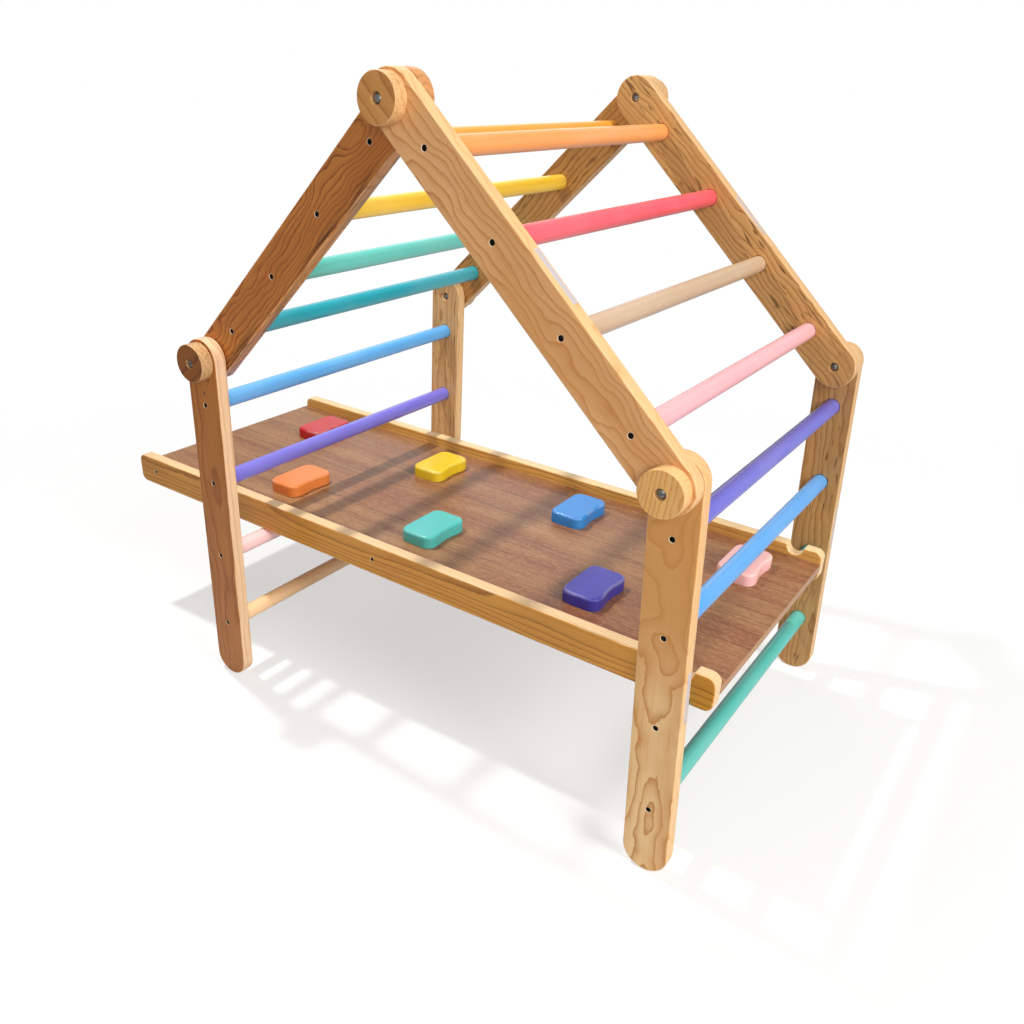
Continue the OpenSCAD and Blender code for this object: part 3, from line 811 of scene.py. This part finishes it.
def plywoodFinish(name, origin, turn, thickness):
    # a tropical veneer: long ribbons and fine dark pores along the board, and the stacked plies on its edges
    material, w, shader = newFinish(name)
    place = localPlace(w, origin, turn)
    apart = w.make("SeparateXYZ", inputs={0: place})
    height = Wire(w.tree, apart.socket.node.outputs[2])
    band = noise(w, place, (1.6, 16.0, 4.0), 61.0, 3.0, 0.6)
    ribbon = noise(w, place, (3.0, 62.0, 8.0), 63.0, 4.0, 0.62)
    pore = noise(w, place, (38.0, 520.0, 60.0), 65.0, 1.0)
    fibre = noise(w, place, (10.0, 360.0, 60.0), 67.0, 3.0, 0.65)
    mottle = noise(w, place, (110.0, 240.0, 20.0), 69.0, 3.0, 0.6)
    vein = noise(w, place, (1.1, 26.0, 4.0), 71.0, 2.0, 0.5)
    tone = blend(w, band.span(0.35, 0.66) * 0.75, shade(plySet["face"]), shade(plySet["pale"]))
    tone = blend(w, ribbon.span(0.46, 0.68) * 0.45, tone, shade(plySet["deep"]))
    tone = blend(w, fibre.span(0.45, 0.75) * 0.4, tone, shade(plySet["deep"]))
    tone = blend(w, pore.span(0.6, 0.72) * 0.6, tone, shade(plySet["pore"]))
    tone = blend(w, mottle.span(0.46, 0.7) * 0.25, tone, shade(plySet["mottle"]))
    near = w.maths("ABSOLUTE", vein - 0.5)
    tone = blend(w, (1.0 - near.span(0.0, 0.012)) * 0.35, tone, shade(plySet["pore"]))
    layer = w.maths("FRACT", height / (2 * thickness / plySet["plies"]))
    sheet = blend(w, layer.span(0.46, 0.54), shade(plySet["lightPly"]), shade(plySet["darkPly"]))
    skin = w.maths("ABSOLUTE", height - thickness / 2).span(thickness / 2 - 0.0012, thickness / 2 - 0.0008)
    sheet = blend(w, fibre.span(0.45, 0.75) * 0.3, sheet, shade(plySet["deep"]))
    tone = blend(w, skin, sheet, tone)
    relief = fibre * 0.5 - pore.span(0.6, 0.74) * 0.6
    bump = w.make("Bump", {}, {"Strength": 0.2, "Distance": 0.0004, "Height": relief})
    feed(w, shader, {"Base Color": tone, "Roughness": 0.34 + fibre * 0.16, "Normal": bump,
                     "Coat Weight": 0.22, "Coat Roughness": 0.3})
    return material


def makePlywood():
    s = boardSet
    hook, along, across = boardFrame()
    length, width = boardLength(), float(boxSize("plywood_panel")[1])
    right, left = s["notchInset"], s["notchInset"] - length
    bottom = (s["railHeight"] - s["plyThickness"]) / 2 - s["mouth"]
    half = width / 2
    outline = roundedLoop([(left, -half), (right, -half), (right, half), (left, half)], plySet["corner"], 4)
    steps = [(s["screwHeadRadius"] + 0.0003, 0), (s["screwHeadRadius"], 0), (s["screwShank"], s["screwHeadHeight"]),
             (s["screwShank"], s["plyThickness"])]
    spots = [spot for hold in holdNames for spot in holdScrewSpots(hold)]
    bores = [{"at": spot, "through": True, "fromBack": True, "steps": steps} for spot in spots]
    points, faces, wearAndShade = plate(outline, s["plyThickness"], (plySet["edge"], plySet["edge"]), bores)
    top = hook + across * (bottom + s["plyThickness"])
    points, faces = laid(points, faces, (top[0], 0.0, top[2]), (along, (0.0, 1.0, 0.0), -across))
    under = hook + across * bottom
    material = plywoodFinish("plywood", (under[0], 0.0, under[2]), turnOf(along), s["plyThickness"])
    addPiece("plywood_panel_piece", points, faces, "board", material, ("plywood_panel",), wearAndShade)


# holds
holdNames = ["red", "orange", "yellow", "turquoise", "blue", "purple", "pink"]
holdSet = {"length": 0.105, "width": 0.068, "cornerRadius": 0.016, "hollowDepth": 0.0035, "hollowRadius": 0.110,
           "topEdge": 0.005, "bottomEdge": 0.0008, "screwPitch": 0.052, "screwDepth": 0.0174, "screwMouth": 0.002,
           "cornerSteps": 16, "hollowSteps": 40, "spacing": 0.0011, "softening": 26}
holdPaint = {"red": "#BC1420", "orange": "#E2803C", "yellow": "#E3C01A", "turquoise": "#51BBB5",
             "blue": "#2981CC", "purple": "#393499", "pink": "#EFBAB7"}


def holdSpot(hold):
    # along the board from the hook rung, and across the board from its middle
    hook, along = boardFrame()[:2]
    away = boxMiddle(hold + "_hold") - hook
    return float(away @ along), float(away[1])


def holdScrewSpots(hold):
    x, y = holdSpot(hold)
    return [(x - holdSet["hollowDepth"] / 2, y + k * holdSet["screwPitch"] / 2) for k in (-1, 1)]


def holdOutline():
    # a rounded rectangle with a shallow arc taken out of its right side, its corners then softened
    s = holdSet
    side, end = s["width"] / 2, s["length"] / 2
    centre = side - s["hollowDepth"] + s["hollowRadius"]
    reach = math.acos((centre - side) / s["hollowRadius"])
    arc = np.linspace(math.pi + reach, math.pi - reach, s["hollowSteps"])
    hollow = np.stack([centre + s["hollowRadius"] * np.cos(arc), s["hollowRadius"] * np.sin(arc)], -1)
    corners = [(side, -end), (side, end), (-side, end), (-side, -end)]
    block = roundedLoop(corners, s["cornerRadius"], s["cornerSteps"])
    firstCorner = s["cornerSteps"] + 1
    loop = np.concatenate([block[:firstCorner], hollow, block[firstCorner:]])
    return softened(evenLoop(loop, s["spacing"]), s["softening"])


def glossPaint(name, code, origin, turn, seed):
    material, w, shader = newFinish(name)
    place = localPlace(w, origin, turn)
    cloud = noise(w, place, (22.0, 22.0, 22.0), seed, 2.0)
    peel = noise(w, place, (150.0, 150.0, 150.0), seed + 3, 1.0)
    scuff = noise(w, place, (34.0, 60.0, 34.0), seed + 8, 2.0, 0.5)
    base = shade(code)
    tone = blend(w, cloud.span(0.35, 0.7) * 0.25, base, tuple(min(1.0, c * 0.92 + 0.04) for c in base))
    tone = blend(w, scuff.span(0.6, 0.85) * 0.06, tone, tuple(c * 0.75 for c in base))
    edge = edgeWearAndShade(w)
    tone = blend(w, edge * cloud.span(0.4, 0.6) * 0.12, tone, (1.0, 0.98, 0.94))
    bump = w.make("Bump", {}, {"Strength": 0.04, "Distance": 0.0004, "Height": peel})
    rough = 0.34 + scuff.span(0.4, 0.9) * 0.08 + peel * 0.04
    feed(w, shader, {"Base Color": tone, "Roughness": rough, "Normal": bump, "Coat Weight": 0.3,
                     "Coat Roughness": 0.1, "Specular IOR Level": 0.35})
    return material


def makeHold(hold, seed):
    s, node = holdSet, hold + "_hold"
    hook, along, across = boardFrame()
    x, y = holdSpot(hold)
    bottom = (boardSet["railHeight"] + boardSet["plyThickness"]) / 2 - boardSet["mouth"]
    lean = math.atan2(abs(along[2]), along[0])
    height = float((boxSize(node)[2] - s["width"] * math.sin(lean)) / math.cos(lean))
    steps = [(s["screwMouth"], 0), (boardSet["screwShank"], 0), (boardSet["screwShank"], s["screwDepth"])]
    bores = [{"at": (px - x, py - y), "fromBack": True, "steps": steps} for px, py in holdScrewSpots(hold)]
    points, faces, wearAndShade = plate(holdOutline(), height, (s["topEdge"], s["bottomEdge"]), bores)
    top = hook + along * x + across * (bottom + height)
    points, faces = laid(points, faces, (top[0], y, top[2]), (along, (0.0, 1.0, 0.0), -across))
    material = glossPaint("gloss " + node, holdPaint[hold], (top[0], y, top[2]), turnOf(along), seed)
    addPiece(node + "_piece", points, faces, "board", material, (node,), wearAndShade)


# paper labels
labelSet = {"length": 0.080, "width": 0.0098, "thickness": 0.00015, "glue": 0.00004, "lift": 0.0006,
            "wornBand": 0.0012, "rows": 40, "cols": 12}
# how far the middle is along the rail from its start pivot, and how far in from the outer face
labelSpots = {"right_roof_front": (0.2945, 0.0140), "right_roof_back": (0.283, 0.011),
              "right_leg_front": (0.300, 0.0138), "right_leg_back": (0.301, 0.0095)}


def paper(name, seed):
    material, w, shader = newFinish(name)
    place = w.make("TexCoord", output="Object")
    pulp = noise(w, place, (500.0, 500.0, 500.0), seed, 3.0)
    stain = noise(w, place, (60.0, 60.0, 60.0), seed + 2, 3.0, 0.6)
    edge = edgeWearAndShade(w)
    tone = blend(w, stain.span(0.45, 0.75) * 0.35, shade("#B9B1B5"), shade("#ABA19E"))
    tone = blend(w, edge * stain.span(0.3, 0.6) * 0.5, tone, shade("#CDB9A6"))
    bump = w.make("Bump", {}, {"Strength": 0.15, "Distance": 0.0002, "Height": pulp})
    feed(w, shader, {"Base Color": tone, "Roughness": 0.55 + pulp * 0.2, "Normal": bump})
    return material


def makeLabel(spotName, seed):
    # a sheet of two parameters, a along the rail and q across its edge; its last corner curls up as (a q) to the sixth
    panel, side = spotName.rsplit("_", 1)
    s = labelSet
    start, along, across = panelFrame(panel)
    spot, inFromOuter = labelSpots[spotName]
    if panel == "right_leg" and across[0] < 0:
        across = -across
    a, q = np.meshgrid(np.linspace(0, 1, s["rows"]), np.linspace(0, 1, s["cols"]), indexing="ij")
    u = spot + (a - 0.5) * s["length"]
    v = (q - 0.5) * s["width"]
    lift = s["glue"] + s["lift"] * (a * q) ** 6
    points = (start[None, None] + along * u[..., None] + across * (railSet["width"] / 2 + lift)[..., None])
    points[..., 1] = outerFace(f"{panel}_{side}_rail", side) + sides[side] * (inFromOuter + v)
    faces = gridFaces(s["rows"], s["cols"])
    normal = np.cross(points[1, 0] - points[0, 0], points[0, 1] - points[0, 0])
    if normal @ across > 0:
        faces = faces[:, ::-1]
    near = np.minimum(np.minimum(a, 1 - a) * s["length"], np.minimum(q, 1 - q) * s["width"])
    piece = addPiece(spotName + "_label", points.reshape(-1, 3), [faces], panel, paper("paper " + spotName, seed),
                     edge=np.clip(1 - near.ravel() / s["wornBand"], 0, 1), closed=False)
    thick = piece.modifiers.new("thickness", "SOLIDIFY")
    thick.thickness, thick.offset = s["thickness"], 1.0


# metal
metalSet = {"steel": {"bright": "#A9A7A4", "dull": "#6C6A68", "roughness": 0.3},
            "black": {"bright": "#3A3A3C", "dull": "#19191B", "roughness": 0.38}}


def metalFinish(name, look, seed):
    material, w, shader = newFinish(name)
    place = w.make("TexCoord", output="Object")
    cloud = noise(w, place, (160.0, 160.0, 160.0), seed, 3.0, 0.6)
    scratch = noise(w, place, (1600.0, 1600.0, 180.0), seed + 3, 2.0)
    pit = noise(w, place, (1300.0, 1300.0, 1300.0), seed + 6, 1.0)
    tone = blend(w, cloud.span(0.35, 0.7), shade(look["bright"]), shade(look["dull"]))
    tone = blend(w, pit.span(0.68, 0.76) * 0.5, tone, shade("#2A2522"))
    bump = w.make("Bump", {}, {"Strength": 0.12, "Distance": 0.0002, "Height": scratch * 0.7 + pit * 0.3})
    rough = look["roughness"] + cloud * 0.2 + scratch * 0.1
    feed(w, shader, {"Base Color": tone, "Roughness": rough, "Normal": bump, "Metallic": 1.0})
    return material


def dressMetal():
    # the CAD nodes that show as they are: bolts, nuts, washers and screws
    steel = metalFinish("worn steel", metalSet["steel"], 71.0)
    black = metalFinish("blackened screw steel", metalSet["black"], 74.0)
    for node, piece in frame["nodes"].items():
        if piece.hide_render:
            continue
        finish = black if "screws" in node else steel
        for k in range(max(1, len(piece.material_slots))):
            if k < len(piece.material_slots):
                piece.material_slots[k].material = finish
            else:
                piece.data.materials.append(finish)


# floor
def makeFloor():
    # a square of 2 x 2 points at the foot of the object, whose paint thins out to nothing away from it
    reach, low = floorSet["reach"], cadBox[0][2]
    a, b = np.meshgrid([-reach, reach], [-reach, reach], indexing="ij")
    points = np.stack([a, b, np.full((2, 2), low)], -1).reshape(-1, 3)
    mesh = bpy.data.meshes.new("floor")
    mesh.from_pydata(points.tolist(), [], [[0, 2, 3, 1]])
    material, w, shader = newFinish("pale floor")
    place = w.make("TexCoord", output="Object")
    grain = noise(w, place, (3.0, 3.0, 3.0), 80.0, 2.0)
    away = w.make("VectorMath", {"operation": "LENGTH"}, {0: place}, "Value")
    tone = blend(w, grain * 0.1, floorSet["tone"], floorSet["darker"])
    shown = (1.0 - away.span(floorSet["solid"], floorSet["gone"])) * floorSet["strength"]
    feed(w, shader, {"Base Color": tone, "Roughness": 0.75, "Alpha": shown})
    mesh.materials.append(material)
    floor = bpy.data.objects.new("floor", mesh)
    bpy.context.scene.collection.objects.link(floor)


makeCamera()
for lightName, spec in lightSet.items():
    makeLight(lightName, spec)
makeSurround()
makeFloor()
print("stage: camera, lights and floor")

for panel in panelNames:
    for side in sides:
        makeRail(panel, side)
print("stage: rails")

seed = 100.0
for panel in panelNames:
    for number in rungNumbers:
        seed += 1.7
        makeRung(panel, number, seed)
print("stage: rungs")

for pivot in discLooks:
    makeDisc(pivot)
print("stage: knob discs")

for side in sides:
    makeBoardRail(side)
makePlywood()
for k, hold in enumerate(holdNames):
    makeHold(hold, 200.0 + 3.3 * k)
print("stage: climbing board")

for k, spotName in enumerate(labelSpots):
    makeLabel(spotName, 300.0 + k)
dressMetal()
print("stage: labels and metal")
